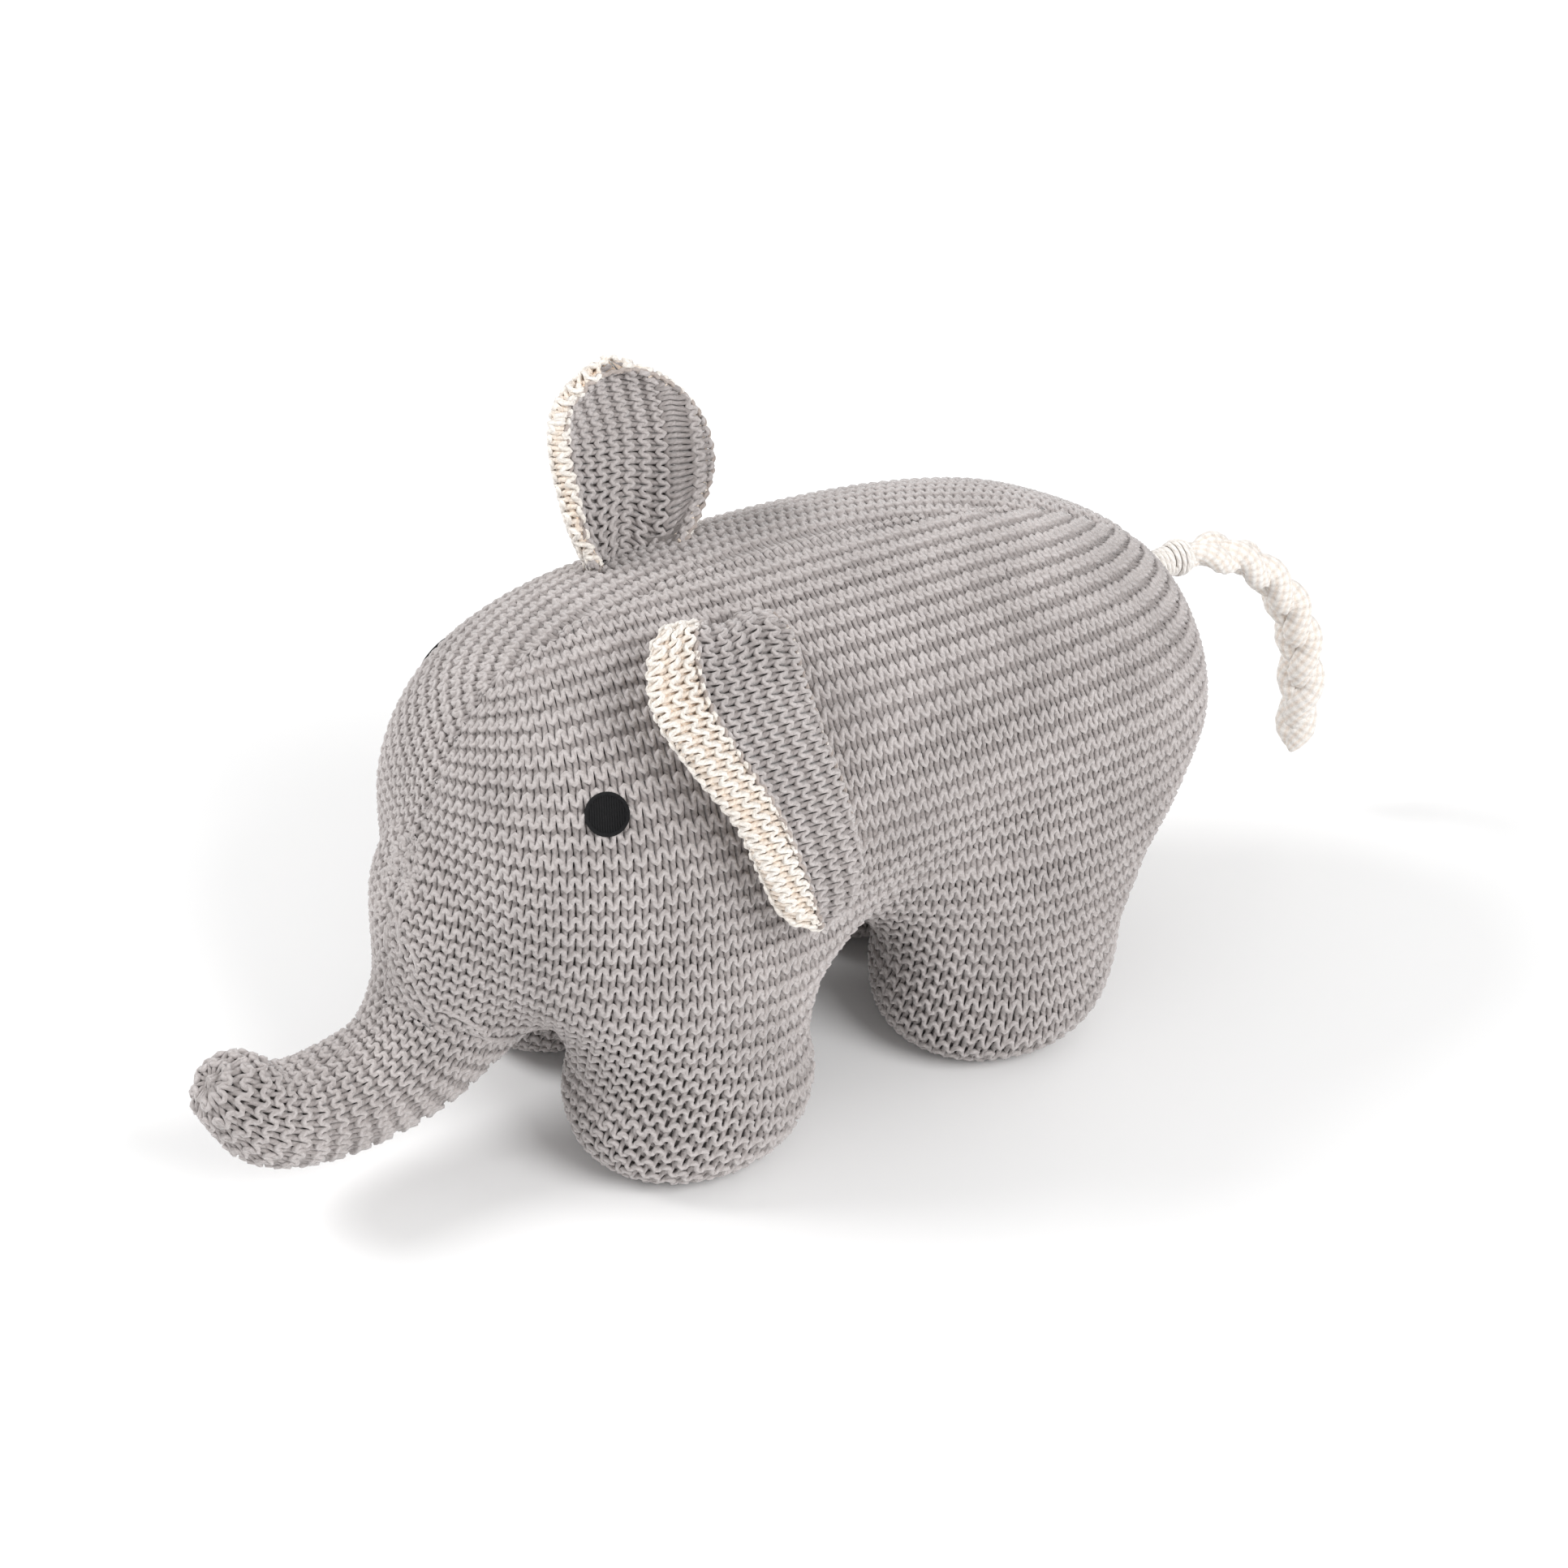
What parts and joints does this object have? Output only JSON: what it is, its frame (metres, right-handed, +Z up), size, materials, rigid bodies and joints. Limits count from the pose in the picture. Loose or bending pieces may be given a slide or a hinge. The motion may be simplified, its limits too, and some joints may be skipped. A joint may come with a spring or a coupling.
{
  "type": "knitted stuffed elephant",
  "caption": "Grey garter-knit stuffed elephant with cream-lined ears, a braided cotton tail and embroidered eyes; ears, trunk and tail move.",
  "frame": {"origin": "on the floor, under the middle of the box round the whole elephant without its tail cord", "axes": "-Y is the way the elephant looks, +X is its left side, +Z is up"},
  "size_m": [0.1156, 0.3107, 0.1747],
  "materials": {
    "knit_grey": "matte garter knit, light warm grey cotton",
    "knit_cream": "matte garter knit, cream cotton",
    "tail_cotton": "loosely spun cream cotton strands",
    "eye_thread": "black satin-stitch embroidery",
    "seam_thread": "grey cotton sewing yarn",
    "fibre_fill": "white polyester fibre"
  },
  "bodies": {
    "root": {"body_skin_left": "knit_grey", "body_skin_right": "knit_grey", "belly_gusset": "knit_grey", "spine_seam_thread": "seam_thread", "head_fill": "fibre_fill", "torso_fill": "fibre_fill", "leg_fill_front_left": "fibre_fill", "leg_fill_front_right": "fibre_fill", "leg_fill_rear_left": "fibre_fill", "leg_fill_rear_right": "fibre_fill", "eye_left": "eye_thread", "eye_right": "eye_thread", "tail_anchor": "tail_cotton"},
    "trunk": {"trunk_skin_left": "knit_grey", "trunk_skin_right": "knit_grey", "trunk_fill": "fibre_fill"},
    "ear_left": {"ear_left_back": "knit_grey", "ear_left_front": "knit_cream", "ear_left_wadding": "fibre_fill"},
    "ear_right": {"ear_right_back": "knit_grey", "ear_right_front": "knit_cream", "ear_right_wadding": "fibre_fill"},
    "tail_base": {"tail_root": "tail_cotton"},
    "tail": {"tail_braid": "tail_cotton"}
  },
  "joints": [
    {"name": "trunk_bend", "type": "hinge", "parent": "root", "child": "trunk", "pos_m": [-0.0047, -0.0617, 0.048], "axis": [-1, 0, 0], "range_deg": [-12, 30]},
    {"name": "ear_left_flap", "type": "hinge", "parent": "root", "child": "ear_left", "pos_m": [0.0171, -0.0047, 0.1292], "axis": [0, -1, 0], "range_deg": [-2, 38]},
    {"name": "ear_right_flap", "type": "hinge", "parent": "root", "child": "ear_right", "pos_m": [-0.0265, -0.0047, 0.1292], "axis": [0, -1, 0], "range_deg": [-10, 60]},
    {"name": "tail_swing", "type": "hinge", "parent": "root", "child": "tail_base", "pos_m": [-0.0047, 0.1347, 0.0884], "axis": [0, 0, 1], "range_deg": [-50, 50]},
    {"name": "tail_lift", "type": "hinge", "parent": "tail_base", "child": "tail", "pos_m": [-0.0047, 0.1347, 0.0884], "axis": [1, 0, 0], "range_deg": [-20, 60]}
  ]
}
